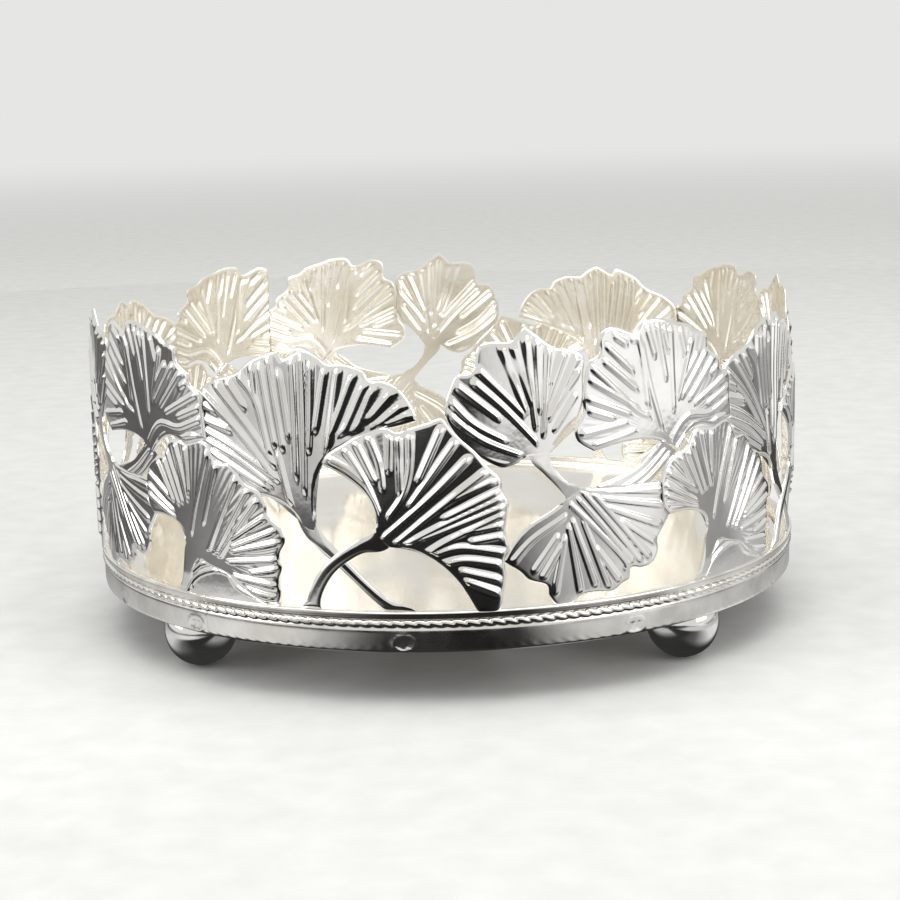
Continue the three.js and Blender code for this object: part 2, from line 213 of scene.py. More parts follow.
def finishMesh(name, vertices, faces, slots, materials, sharpAngle=55):
    # one mesh from whole arrays: vertices in millimetres, faces, and the material slot of each face
    mesh = bpy.data.meshes.new(name)
    mesh.vertices.add(len(vertices))
    mesh.vertices.foreach_set("co", (np.asarray(vertices) * mm).astype(np.float32).ravel())
    mesh.loops.add(faces.size)
    mesh.loops.foreach_set("vertex_index", faces.astype(np.int32).ravel())
    mesh.polygons.add(len(faces))
    mesh.polygons.foreach_set("loop_start", np.arange(0, faces.size, faces.shape[1], dtype=np.int32))
    for material in materials:
        mesh.materials.append(material)
    mesh.polygons.foreach_set("material_index", np.asarray(slots, np.int32))
    mesh.update(calc_edges=True)
    mesh.shade_smooth()
    mesh.set_sharp_from_angle(angle=math.radians(sharpAngle))
    mesh.validate()
    return standing(name, mesh)


def facingOut(vertices, faces):
    # the faces, turned round if their wedges from the origin, a . (b x c) for each, sum to less than nothing
    corners = [vertices[faces[:, i]] for i in range(faces.shape[1])]
    wedges = [(corners[0] * np.cross(b, c)).sum() for b, c in zip(corners[1:-1], corners[2:])]
    return faces if sum(wedges) > 0 else faces[:, ::-1]


def gridQuads(rows, columns, closedAcross=False, closedAlong=False):
    # the quads of a rows x columns grid of points numbered row by row
    spans = np.arange(rows - (not closedAlong)), np.arange(columns - (not closedAcross))
    row, column = np.meshgrid(*spans, indexing="ij")
    below, beside = (row + 1) % rows, (column + 1) % columns
    here, under = row * columns, below * columns
    return np.stack([here + column, here + beside, under + beside, under + column], -1).reshape(-1, 4)


def sheetFrom(outer, inner):
    # a closed sheet from two grids of points of one shape: outer face, inner face and a wall round the edge
    rows, columns = outer.shape[:2]
    count = rows * columns
    vertices = np.concatenate([outer.reshape(-1, 3), inner.reshape(-1, 3)])
    front = gridQuads(rows, columns)
    back = front[:, ::-1] + count
    index = np.arange(count).reshape(rows, columns)
    loop = np.concatenate([index[0, :-1], index[:-1, -1], index[-1, :0:-1], index[:0:-1, 0]])
    following = np.roll(loop, -1)
    wall = np.stack([following, loop, loop + count, following + count], -1)
    slots = np.concatenate([np.zeros(len(front)), np.ones(len(back)), np.zeros(len(wall))]).astype(int)
    return vertices, facingOut(vertices, np.concatenate([front, back, wall])), slots


def segmentDistance(points, a, b):
    # distance from each point to the nearest place of the segment a-b, and how far along that place is
    step = b - a
    share = np.clip(((points - a) @ step) / max(step @ step, 1e-12), 0, 1)
    return np.linalg.norm(points - (a + share[..., None] * step), axis=-1), share


def insideDepth(points, outline):
    # depth inside a closed outline: the distance to its nearest side, negative outside (ray crossings)
    flat = points.reshape(-1, 2)
    nearest = np.full(len(flat), 1e9)
    inside = np.zeros(len(flat), bool)
    for a, b in zip(outline, np.roll(outline, -1, axis=0)):
        nearest = np.minimum(nearest, segmentDistance(flat, a, b)[0])
        if a[1] != b[1]:
            crosses = (a[1] > flat[:, 1]) != (b[1] > flat[:, 1])
            inside ^= crosses & (flat[:, 0] < (b[0] - a[0]) * (flat[:, 1] - a[1]) / (b[1] - a[1]) + a[0])
    return np.where(inside, nearest, -nearest).reshape(points.shape[:-1])


def turned(vertices, turn):
    # a rigid turn about the tray's axis
    c, s = math.cos(turn), math.sin(turn)
    return vertices @ np.array([[c, s, 0], [-s, c, 0], [0, 0, 1]])


def settle(piece, slotName, *nodes):
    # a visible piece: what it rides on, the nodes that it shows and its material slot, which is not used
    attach(piece, "root")
    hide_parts(*nodes)


# Ginkgo leaves.
# Each leaf lies on the unrolled gallery, [along, height] in millimetres: its foot, its two margins and its
# rim. level: how far it stands out over the leaves that it covers; veins: pressed ribs from near the foot
# outwards, veinTop: the flat share of their tops; ripple: the height of the fine ripples between them;
# calm: places where the sheet was pressed less, each with a reach and the share of the veins' height that
# is left there.
leafShapes = {
    "broadLeaf": {
        "veinWidth": 2.4, "veinLift": 0.75, "veinTop": 0.25, "ripple": 0.0, "level": 0.0,
        "calm": [[-42, 60, 11, 0.5], [-21, 62, 10, 0.35]], "base": [[-36, 31.6], [-33, 30]],
        "leftEdge": [[-40.5, 36.3], [-46, 38.4]],
        "rim": [[-53.5, 39.4], [-60.5, 43.4], [-66, 50], [-66.6, 57], [-66.6, 63.6], [-61.5, 67.2],
            [-54.5, 69.3], [-50, 72.6], [-45, 74.6], [-42, 75.2], [-40.5, 73.4], [-37.5, 74.8],
            [-34.8, 75.7], [-31.5, 74.3], [-28.8, 72.4], [-24, 72.3], [-19.5, 70.6], [-18, 68.3],
            [-14.5, 68.2], [-10.5, 66], [-7.4, 61.5], [-6.5, 58.3]],
        "rightEdge": [[-33.4, 37.5], [-32.4, 44.5], [-28, 50.5], [-18, 55]],
        "veins": [[[-47, 41.1], [-62.7, 48.6]], [[-45.6, 42.1], [-54, 47.5], [-64, 51.5]],
            [[-43.4, 43.6], [-48.4, 46.4], [-57.7, 51.4], [-65, 54.2]], [[-57, 55], [-64.5, 56.8]],
            [[-61.3, 59.3], [-64.7, 60.7]], [[-45.6, 45.7], [-54.1, 55], [-64.6, 63.4]],
            [[-44.1, 47.1], [-50.6, 55.7], [-60.2, 65.8]], [[-52, 61.1], [-56.6, 67]],
            [[-45.2, 50], [-48.4, 62.9], [-53, 68.6]], [[-48.8, 64.6], [-49.1, 71]],
            [[-43.5, 52], [-44.9, 59.3], [-46.6, 71]], [[-41.3, 51.4], [-43.4, 65.7], [-44.1, 73.2]],
            [[-39.5, 54.3], [-41.3, 69.3]], [[-39.9, 37.9], [-42.4, 49.3]], [[-37.7, 44.3], [-37.7, 73]],
            [[-35.6, 40.7], [-34.9, 73.6]], [[-34, 51.4], [-32.7, 71.8]], [[-32, 56.4], [-29.1, 70.3]],
            [[-29.1, 51.4], [-25.6, 70.6]], [[-27.7, 56.4], [-22, 69.3]], [[-24.9, 55.7], [-19.3, 66.9]],
            [[-21.8, 56.4], [-17.1, 66]], [[-17.9, 59.3], [-12.5, 65.3]], [[-15.7, 57.9], [-9, 63]],
            [[-14.6, 57], [-8, 60.3]]],
    },
    "frontLeaf": {
        "veinWidth": 2.8, "veinLift": 0.85, "veinTop": 0.0, "ripple": 0.0, "level": 0.75,
        "calm": [[-10, 50, 3, 0.8]], "base": [[-17.3, 30.5], [-14, 27.2]],
        "leftEdge": [[-17.6, 35.5], [-19.8, 40.3], [-24.3, 44.3]],
        "rim": [[-30.6, 47.6], [-29.4, 50], [-25.5, 52.4], [-21.5, 54.8], [-17.5, 56.2], [-14.5, 57],
            [-11.5, 55.8], [-8, 56.9], [-4, 58], [-0.5, 59], [1.8, 56.2], [4, 53.8], [7.5, 50.5],
            [10.5, 46.6], [13.4, 43.6], [13.8, 40.5], [15.3, 37.6], [15, 34.2], [14.4, 30], [15.3, 26],
            [14, 23], [14.3, 19], [13.7, 15.5], [12.3, 10.2], [7.2, 10]],
        "rightEdge": [[-8, 26.3], [-2, 22.8], [3, 17.5]],
        "veins": [[[-19.6, 43.2], [-24, 47], [-28.2, 49.2]], [[-16.6, 36], [-19.5, 43.5], [-24, 51]],
            [[-17.4, 44], [-21.3, 52.8]], [[-15.4, 42], [-16, 48], [-18.3, 54.6]],
            [[-13.6, 46.5], [-13.2, 54.8]], [[-11, 41], [-11, 54.8]],
            [[-14, 35], [-10.5, 40], [-8.7, 46], [-8.2, 54.6]], [[-6.3, 44.2], [-0.9, 56]],
            [[-8.5, 38], [2.5, 53]], [[-15.3, 29.8], [-4, 39.5], [5.2, 48.5]],
            [[-12, 28.5], [-1.5, 37], [9.5, 45.2]], [[-6, 33.5], [2, 39], [11.3, 43]],
            [[0, 34.5], [13, 40.6]], [[-11, 27.4], [-1, 32.5], [13, 38.6]], [[-6, 29.2], [13.2, 36.4]],
            [[-5.8, 24.6], [0, 28.4], [13.2, 34.5]], [[4, 30.5], [13.2, 32]], [[6.5, 28.2], [13.3, 29.2]],
            [[-2.5, 25.4], [3.5, 26.8], [14, 25]], [[-2.2, 22.2], [4.3, 23.6], [13.5, 22]],
            [[3.8, 20.7], [12, 18.4]], [[4.8, 18.2], [12.4, 14.9]]],
    },
    "peakedLeaf": {
        "veinWidth": 2.8, "veinLift": 0.85, "veinTop": 0.0, "ripple": 0.0, "level": 0.4,
        "calm": [[17.5, 71, 8.0, 0.05]], "base": [[20.5, 49.2], [26, 49.3]],
        "leftEdge": [[17.5, 46.9], [13.5, 46.2], [9, 48.6]],
        "rim": [[4.5, 52], [1, 57.5], [0.3, 61.5], [1.4, 65.5], [3.4, 69.3], [7.3, 70.3], [8.6, 75.8],
            [11.5, 77.2], [16.5, 77.1], [18.3, 78.6], [20.5, 80.3], [23, 78.6], [27.5, 75.3], [32, 74.4],
            [35.3, 72.2], [35, 67], [35, 61.5], [33.5, 57.3]],
        "rightEdge": [[28, 52], [30.5, 55]],
        "veins": [[[17.9, 45.9], [10, 48], [5.5, 50.6]], [[18.2, 49.3], [9, 53.5], [1, 60]],
            [[14.3, 53.2], [7, 57.5], [1.6, 63.2]], [[12.9, 58.9], [3.2, 66.9]],
            [[22.5, 52.1], [15, 60.5], [7.9, 67.1]], [[19.3, 59.3], [14, 65], [8.9, 70.2]],
            [[20, 60], [14.5, 75.3]], [[21.5, 62], [17.2, 75.6]], [[22.5, 56], [20.2, 77.3]],
            [[23.5, 60], [23, 76.3]], [[24.5, 54], [26, 74]], [[25.5, 62], [29.8, 73.4]],
            [[26.8, 66.5], [29.3, 72.6]], [[26, 58], [33.2, 72]], [[27, 60], [33.6, 68.5]],
            [[27.5, 55.1], [32.5, 62.6]]],
    },
    "hangingLeaf": {
        "veinWidth": 2.3, "veinLift": 0.42, "veinTop": 0.45, "ripple": 0.0, "level": 0.1,
        "calm": [[36, 30, 5, 0.6]], "base": [[30, 37], [34, 39.5]],
        "leftEdge": [[26.5, 34.6], [20.5, 31.3], [16.5, 27.3]],
        "rim": [[13.6, 22.5], [18, 19.6], [20.5, 17.2], [24.8, 15.6], [25.4, 13], [27.5, 10], [31, 10],
            [34, 12.1], [38, 12.4], [42.5, 12.1], [45.5, 13.8], [47.6, 14.8], [48.2, 17.4], [51.5, 17],
            [55, 18], [56.6, 21], [56.5, 24], [58.6, 27], [60.5, 30], [61, 34.5], [60, 38.5]],
        "rightEdge": [[44, 38.8], [52, 38.8]],
        "veins": [[[29.6, 32.6], [21.4, 27.6], [16.4, 22.4]], [[27.5, 27.6], [21.8, 19.8]],
            [[28.5, 25], [24, 18]], [[29.5, 27], [26.8, 14]], [[30.7, 29.7], [33.4, 13.6]],
            [[31.8, 31.1], [37.5, 14.7]], [[34.6, 30.8], [41.2, 13.8]], [[38.2, 23.3], [44, 15.2]],
            [[31.4, 35.4], [45.7, 20.4], [46.8, 17]], [[33.5, 36.5], [48, 19.6]],
            [[35, 37.9], [50.5, 19.4]], [[38, 37], [53, 20]], [[45.7, 29.7], [54.8, 23.5]],
            [[41.8, 33.6], [56.4, 27.6]], [[40.7, 36.1], [58, 32.4]], [[41.4, 38.3], [58.5, 36.1]]],
    },
    "stripedTie": {
        "veinWidth": 2.2, "veinLift": 0.6, "veinTop": 0.1, "ripple": 0.0, "level": -0.05,
        "calm": [[58, 47, 3, 0.5]], "base": [[58.5, 49], [62.5, 45.6]],
        "leftEdge": [[54.5, 46.7], [49, 42.6]],
        "rim": [[38.2, 39.6], [40.5, 37.2], [45, 36], [49, 36.5]],
        "rightEdge": [[58.5, 41.8], [54, 38.6]],
        "veins": [[[57.5, 48], [51, 43.5], [42, 39.9]], [[58.5, 46.2], [52.5, 41.5], [46, 38.2]],
            [[60, 45.2], [54, 40], [49, 37.3]]],
    },
    "upperLeaf": {
        "veinWidth": 2.3, "veinLift": 0.48, "veinTop": 0.15, "ripple": 0.015, "level": 0.95,
        "calm": [[57, 66, 10, 0.45]], "base": [[60, 47.8], [62.5, 46.5]],
        "leftEdge": [[54, 49.8], [46, 50]],
        "rim": [[37.5, 48.6], [33.2, 51.5], [32.6, 55], [34.8, 58.5], [34.6, 62], [35.2, 66.5],
            [36.3, 70.8], [39.3, 72.8], [39.6, 77.5], [43.5, 79], [49.3, 77.2], [52, 79.8], [57, 80],
            [61.5, 78.8], [66.2, 77.6], [69, 75.8], [73, 74.6], [73.6, 70.8], [77.8, 68], [78.4, 65.4],
            [82, 63.5], [82.4, 58.5], [83, 51.8]],
        "rightEdge": [[66.5, 50.2], [70.5, 51.5], [75.5, 50.3], [80, 51.3]],
        "veins": [[[48.5, 52.6], [37.5, 49.8]], [[46.1, 54.9], [34.6, 53.2]], [[42.5, 56.5], [36.2, 58.8]],
            [[47.1, 57.1], [36.2, 61.7]], [[49.3, 58.6], [36.6, 66.4]],
            [[53, 56], [48.9, 58.3], [37.6, 69]], [[49.3, 63.3], [40.8, 70.4]], [[48.2, 67.9], [41.5, 74]],
            [[46.4, 74.7], [43.6, 76.6]], [[52.9, 59], [50.7, 74], [48.5, 75.6]],
            [[57.1, 52.6], [53.5, 64], [51.3, 73.3]], [[55, 71.1], [52.9, 77.4]],
            [[58.6, 65.1], [55.9, 77.8]], [[59.5, 72], [58, 77]], [[61.1, 56.9], [60, 76.5]],
            [[65, 70.4], [63.4, 76]], [[63, 60], [67, 73]], [[64.3, 63.6], [68.9, 69.5]],
            [[64.3, 60], [72, 69.5]], [[66.8, 59], [75, 68]], [[75, 64.7], [77, 65.8]],
            [[68.9, 57.6], [80, 63]], [[73.6, 56.9], [81, 59.8]],
            [[60.5, 49.2], [63.2, 52.6], [66.8, 54.6], [73, 54], [77.5, 55.4], [81.5, 57]],
            [[61.8, 46.3], [64.5, 49.3], [68, 51.7], [73, 50.8], [77.5, 52.4], [81, 51.8]]],
    },
    "footLeaf": {
        "veinWidth": 2.1, "veinLift": 0.6, "veinTop": 0.2, "ripple": 0.045, "level": 0.6,
        "calm": [[76, 40, 7, 0.55]], "base": [[73.8, 23.5], [77.5, 20.5]],
        "leftEdge": [[72.4, 27.3], [69, 29.2], [64.5, 29.9]],
        "rim": [[60, 29.6], [57.6, 33], [57.4, 39], [59.5, 43], [63, 45.3], [66, 46.3], [68.5, 50],
            [72, 50.8], [75.5, 50.2], [80.5, 51.5], [83.5, 50.2], [84.8, 47.6], [87, 46.2], [89.5, 46.4],
            [92, 44.4], [94.5, 41.4], [98, 40], [100.3, 37], [101, 33.5], [104.5, 30.5], [105.4, 27.5],
            [103.7, 24], [104.2, 20.5], [103.2, 17.5], [103.6, 14], [102.8, 11.2]],
        "rightEdge": [[82, 18.6], [88, 17], [92.5, 14], [97.5, 11.6]],
        "veins": [[[69.3, 30.4], [59, 34.7]], [[68.9, 31.9], [59, 37]], [[69.3, 34.7], [59.6, 40.4]],
            [[68.9, 35.4], [63.6, 43.8]], [[71.4, 34], [66, 45.6]], [[72.9, 34.7], [67.8, 47.4]],
            [[75, 35.4], [71.3, 49.3]], [[75.4, 37.6], [75, 48.8]],
            [[76.1, 26.9], [78.2, 34.7], [83, 48.4]], [[80.7, 30.1], [85.5, 45]],
            [[82.1, 23.3], [87, 33], [92, 42.8]], [[84.3, 22.6], [95, 39.4]], [[85.7, 21.9], [97.6, 37]],
            [[90, 26.9], [99.6, 33]], [[90, 24.7], [102, 29.7]], [[90, 23.6], [103, 26.9]],
            [[88.6, 20.8], [102.6, 22.5]], [[95.7, 18.6], [102.4, 20]], [[90.4, 17.1], [102, 15.8]],
            [[92.1, 14.3], [101.5, 12.8]]],
    },
}
# How the veins are pressed, in millimetres: they grow from footShare of their size at the foot to all of it
# at fullWidthAt, and fade over rimFade from rimGap inside the edge, where the rim drops by rimDrop over
# rimRoll. coverFade and coverGap: how soon and how far a covered leaf sinks behind the sheet in front. The
# foot has no edge within openFoot. Ripples start at rippleStart of the way out; edgeLane is laid out in the
# fine steps of nearEdge.
leafMaking = {
    "footShare": 0.6, "fullWidthAt": 24.0, "ripplePitch": 2.1, "rippleStart": 0.4, "rippleFade": 0.4,
    "rimGap": 0.8, "rimFade": 0.8, "rimRoll": 0.75, "rimDrop": 0.4, "backRoll": 0.3, "openFoot": 4,
    "coverFade": 0.7, "coverGap": 0.08, "columnStep": 0.36, "rows": 49, "edgeLane": 1.0,
    "nearEdge": [0.0, 0.1, 0.25, 0.45, 0.7], "marginSteps": 14, "rimSteps": 110, "farInside": 9.0,
}
print("gallery planned:", len(leafShapes), "leaves a repeat")


def leafPoint(leaf, across, place):
    # A point = foot + (rim - foot) * place, and next to a margin the margin's own bend times nearness^4.
    across, place = np.broadcast_arrays(np.asarray(across, float), np.asarray(place, float))
    footLeft, footRight = (np.array(p, float) for p in leaf["base"])
    rimPlaces, _ = evenPlaces(leaf["rim"], across.ravel())
    rim = smoothLine(leaf["rim"], rimPlaces).reshape(across.shape + (2,))
    foot = footLeft + (footRight - footLeft) * across[..., None]
    point = foot + (rim - foot) * place[..., None]
    margins = ((footLeft, "leftEdge", leaf["rim"][0], 1 - across),
               (footRight, "rightEdge", leaf["rim"][-1], across))
    for start, edge, end, nearness in margins:
        bend = smoothLine([start, *leaf[edge], end], place) - (start + (end - start) * place[..., None])
        point = point + bend * (nearness ** 4)[..., None]
    return point


def leafOutline(leaf):
    # the closed outline: up the left margin, along the rim and down the right margin
    up = leafPoint(leaf, 0.0, np.linspace(0, 1, leafMaking["marginSteps"]))
    rim = leafPoint(leaf, np.linspace(0, 1, leafMaking["rimSteps"]), 1.0)
    down = leafPoint(leaf, 1.0, np.linspace(1, 0, leafMaking["marginSteps"]))
    return np.concatenate([up, rim[1:-1], down])


def ridges(flat, lines, width, lift, share, top=0.0, steps=14):
    # Height of pressed ridges = lift * (1 + cos(pi x)) / 2, x from 0 at the edge of the flat top to 1 at
    # the foot of the ridge; share narrows and lowers them from place to place.
    height = np.zeros(flat.shape[:2])
    for points in lines:
        line = smoothLine(points, np.linspace(0, 1, 2 if len(points) == 2 else steps))
        nearest = np.full(flat.shape[:2], 1e9)
        for a, b in zip(line[:-1], line[1:]):
            nearest = np.minimum(nearest, segmentDistance(flat, a, b)[0])
        across = np.clip((nearest / (width / 2 * share) - top) / (1 - top), 0, 1)
        height = np.maximum(height, lift * share * 0.5 * (1 + np.cos(np.pi * across)))
    return height


def pressedVeins(leaf, flat):
    # A leaf's veins as ridges that reach their full size some way out from its foot, times each calm
    # place's 1 - (1 - left) * exp(-(distance / reach)^2).
    making = leafMaking
    foot = np.mean(leaf["base"], axis=0)
    share = np.clip(np.linalg.norm(flat - foot, axis=-1) / making["fullWidthAt"], 0, 1)
    share = making["footShare"] + (1 - making["footShare"]) * share
    height = ridges(flat, leaf["veins"], leaf["veinWidth"], leaf["veinLift"], share, leaf["veinTop"])
    for *middle, reach, left in leaf["calm"]:
        height = height * (1 - (1 - left) * np.exp(-(np.linalg.norm(flat - middle, axis=-1) / reach) ** 2))
    return height


def tuckedUnder(flat, lift, covers):
    # Under each covering outline the lift falls smoothly to just behind the covering sheet's back.
    for outline, coverLevel in covers:
        hidden = easedStep(insideDepth(flat, outline) / leafMaking["coverFade"])
        behind = np.minimum(lift, coverLevel - shared["sheet"] - leafMaking["coverGap"])
        lift = lift + (behind - lift) * hidden
    return lift


def leafGrid(name, covers):
    # Lift over the face = level + veins + ripples - the rolled edge, pressed flat where a leaf covers it. The
    # ripples are ripple * cos(2 pi * count * share of the rim), and fade towards the foot and on the veins.
    leaf = leafShapes[name]
    making = leafMaking
    _, rimLength = evenPlaces(leaf["rim"], [0.0])
    veinLength = np.linalg.norm(np.subtract(*leafPoint(leaf, 0.5, np.array([0.0, 1.0]))))
    near, lane = np.array(making["nearEdge"]), making["edgeLane"]
    inner = np.linspace(lane / rimLength, 1 - lane / rimLength, int(rimLength / making["columnStep"]))
    across = np.unique(np.concatenate([near / rimLength, inner, 1 - near / rimLength]))
    outwards = np.linspace(0, 1 - lane / veinLength, making["rows"])
    place = np.unique(np.concatenate([outwards, 1 - near / veinLength]))
    flat = leafPoint(leaf, across[None, :], place[:, None])
    toRim = insideDepth(flat, leafOutline(leaf))
    toFoot = np.linalg.norm(flat - np.mean(leaf["base"], axis=0), axis=-1)
    toEdge = np.clip(np.where(toFoot < making["openFoot"], making["farInside"], toRim), 0, None)
    count = round(rimLength / making["ripplePitch"])
    veins = pressedVeins(leaf, flat)
    grown = np.clip((place - making["rippleStart"]) / making["rippleFade"], 0, 1)[:, None]
    ripples = leaf["ripple"] * np.cos(2 * np.pi * count * across)[None, :] * grown
    veins = veins + ripples * np.clip(1 - 2 * veins / leaf["veinLift"], 0, 1)
    veins = veins * easedStep((toEdge - making["rimGap"]) / making["rimFade"])
    roll = making["rimDrop"] * np.clip(1 - toEdge / making["rimRoll"], 0, 1) ** 2
    lift = tuckedUnder(flat, leaf["level"] + veins, covers)
    outer = onFace(flat[..., 0], flat[..., 1], lift - roll)
    back = onFace(flat[..., 0], flat[..., 1], lift - shared["sheet"] + making["backRoll"] * roll)
    return outer, back


levelOrder = sorted(leafShapes, key=lambda name: -leafShapes[name]["level"])
leafSheets = {}
for name in levelOrder:
    own = leafOutline(leafShapes[name])
    covers = []
    for upper in levelOrder[:levelOrder.index(name)]:
        for shift in (-1, 0, 1):
            outline = leafOutline(leafShapes[upper]) + [shift * shared["repeatLength"], 0]
            if (outline.min(0) < own.max(0)).all() and (outline.max(0) > own.min(0)).all():
                covers.append((outline, leafShapes[upper]["level"]))
    leafSheets[name] = sheetFrom(*leafGrid(name, covers))
    print("leaf laid out:", name, len(leafSheets[name][1]) * 2, "triangles")


# Stems and arches.
# Straps between the leaves, down their middle: [along, height, width, level of the sheet, crown over it];
# each runs on inside the sheet of the leaves that it joins, flush with them at their feet.
stemShapes = {
    "lowStem": {"joins": ["broadLeaf"], "line": [
        [-37.4, 36.2, 3.0, 0.0, 0.0], [-34.6, 31.0, 3.9, 0.0, 0.0], [-31.3, 27.2, 3.3, 0.05, 0.25],
        [-27.0, 23.2, 2.8, 0.1, 0.4], [-22.4, 18.7, 2.4, 0.1, 0.4], [-17.4, 14.0, 2.6, 0.1, 0.4],
        [-12.2, 10.0, 2.8, 0.1, 0.3], [-6.0, 6.4, 3.2, 0.1, 0.2]]},
    "bowedStem": {"joins": ["frontLeaf"], "line": [
        [-35.4, 5.4, 3.6, 0.3, 0.3], [-34.8, 10.2, 3.4, 0.35, 0.4], [-33.2, 15.6, 3.2, 0.4, 0.45],
        [-30.2, 20.6, 3.2, 0.5, 0.45], [-26.0, 24.4, 3.2, 0.6, 0.42], [-21.2, 27.2, 3.4, 0.7, 0.25],
        [-16.2, 28.7, 4.9, 0.75, 0.0], [-12.0, 31.8, 3.4, 0.75, 0.0]]},
    "hangingStem": {"joins": ["peakedLeaf", "hangingLeaf"], "line": [
        [22.4, 54.2, 3.6, 0.4, 0.0], [23.3, 49.0, 5.2, 0.4, 0.0], [25.2, 45.4, 3.2, 0.34, 0.12],
        [28.0, 42.0, 2.5, 0.24, 0.15], [30.0, 40.0, 3.0, 0.14, 0.08], [31.7, 38.5, 4.3, 0.1, 0.0],
        [34.8, 34.2, 3.0, 0.1, 0.0]]},
    "footStem": {"joins": ["footLeaf"], "line": [
        [71.9, 5.4, 4.8, 0.3, 0.0], [72.5, 10.6, 4.2, 0.34, 0.1], [73.5, 15.6, 3.6, 0.46, 0.22],
        [74.6, 19.4, 4.2, 0.57, 0.08], [75.6, 22.0, 5.0, 0.6, 0.0], [78.2, 27.4, 3.4, 0.6, 0.0]]},
}
# joinStart, joinReach and joinDepth: where inside a leaf's outline the straps start to sink into its sheet,
# over what way and how far under its face. behindStrip: everything lower than this is folded up behind the
# band's strip, where the straps widen by footWidening and sink to sunkLift. backGap and joinBack: how much
# nearer the back lies than a sheet would, in the open and in a leaf; thinnest: the least that is left
# between the faces.
stemMaking = {
    "rows": 76, "columns": 21, "joinStart": 0.15, "joinReach": 1.2, "joinDepth": 0.32, "joinBack": 0.3,
    "behindStrip": 10.6, "foldDepth": 1.5, "footWidening": 2.6, "footReach": 0.9, "sinkStart": 0.3,
    "sinkReach": 1.7, "sunkLift": -0.1, "backGap": 0.1, "thinnest": 0.25,
}


def stemSheet(stem):
    # A strap along a smooth line: across it the lift is level + crown * (1 - |x|^4), x from -1 to 1 over
    # its width; inside a joined leaf it sinks to joinDepth under the leaf's face, and towards the strip it
    # widens by footWidening * exp(-rise / footReach) and sinks. Under the fold the height is fold - depth *
    # x / (depth + x).
    making = stemMaking
    line = smoothLine(stem["line"], np.linspace(0, 1, making["rows"]))
    forward = np.gradient(line[:, :2], axis=0)
    forward /= np.linalg.norm(forward, axis=1, keepdims=True)
    side = np.cos(np.linspace(0, np.pi, making["columns"]))
    sideways = np.stack([-forward[:, 1], forward[:, 0]], -1)
    fold, depth = making["behindStrip"], making["foldDepth"]
    rise = np.clip(line[:, 1] - fold, 0, None)
    width = line[:, 2] + making["footWidening"] * np.exp(-rise / making["footReach"])
    flat = line[:, None, :2] + sideways[:, None, :] * (side[None, :, None] * width[:, None, None] / 2)
    under = np.clip(fold - flat[..., 1], 0, None)
    height = np.maximum(flat[..., 1], fold) - depth * under / (depth + under)
    lift = line[:, 3, None] + line[:, 4, None] * (1 - np.abs(side) ** 4)[None, :]
    back = np.broadcast_to(line[:, 3, None] - shared["sheet"] + making["backGap"], lift.shape)
    for name in stem["joins"]:
        sunk = leafShapes[name]["level"] - making["joinDepth"]
        inside = insideDepth(flat, leafOutline(leafShapes[name]))
        within = easedStep((inside - making["joinStart"]) / making["joinReach"])
        lift = lift + (sunk - lift) * within
        back = back + (sunk - making["joinBack"] - back) * within
    risen = easedStep((height - fold + making["sinkStart"]) / making["sinkReach"])
    lift = making["sunkLift"] + (lift - making["sunkLift"]) * risen
    back = np.minimum(back, lift - making["thinnest"])
    return sheetFrom(onFace(flat[..., 0], height, lift), onFace(flat[..., 0], height, back))


# The plain sheet in the arch under the foot leaf, and the two bows pressed along it.
archShape = {
    "level": 0.15, "foot": 9.4, "rows": 34, "columns": 110, "bowWidth": 1.7, "bowLift": 0.6,
    "line": [[71.6, 13], [74, 19.5], [78, 21.5], [83.5, 19.6], [90, 17.6], [95, 14], [103, 11.4]],
    "bows": [[[75, 16.4], [79.3, 19.3], [85.7, 19.3], [88, 17.5], [91, 14], [99, 11.4]],
             [[72.8, 11], [76.5, 15.4], [83.5, 18], [90, 16.8], [95, 13.2], [103, 11.4]]],
}


def archSheet():
    # Straight lines from the strip up to the arch's smooth top: the lift is the level plus the bows'
    # ridges, and it is tucked under the foot leaf.
    rows, columns = archShape["rows"], archShape["columns"]
    top = smoothLine(archShape["line"], np.linspace(0, 1, columns))
    rise = np.linspace(0, 1, rows)[:, None]
    along = np.broadcast_to(top[None, :, 0], (rows, columns))
    height = archShape["foot"] + (top[None, :, 1] - archShape["foot"]) * rise
    flat = np.stack([along, height], -1)
    bows = ridges(flat, archShape["bows"], archShape["bowWidth"], archShape["bowLift"], 1.0)
    covers = [(leafOutline(leafShapes["footLeaf"]), leafShapes["footLeaf"]["level"])]
    lift = tuckedUnder(flat, archShape["level"] + bows, covers)
    back = np.minimum(lift, archShape["level"]) - shared["sheet"]
    return sheetFrom(onFace(along, height, lift), onFace(along, height, back))


stemSheets = {name: stemSheet(stem) for name, stem in stemShapes.items()}
partSheets = {**leafSheets, **stemSheets, "archPlate": archSheet()}
print("stems and arches laid out")


def cutAt(piece, turn, keepBefore):
    # Cuts a closed sheet by the plane through the axis at that turn, and closes the cut.
    sign = 1 if keepBefore else -1
    across = (sign * math.cos(turn), sign * math.sin(turn), 0.0)
    mesh = bmesh.new()
    mesh.from_mesh(piece.data)
    whole = mesh.verts[:] + mesh.edges[:] + mesh.faces[:]
    cut = bmesh.ops.bisect_plane(mesh, geom=whole, plane_co=(0, 0, 0), plane_no=across, clear_outer=True)
    rim = [e for e in cut["geom_cut"] if isinstance(e, bmesh.types.BMEdge)]
    if rim:
        bmesh.ops.holes_fill(mesh, edges=rim, sides=0)
        bmesh.ops.triangulate(mesh, faces=[f for f in mesh.faces if len(f.verts) > 4])
    mesh.to_mesh(piece.data)
    mesh.free()


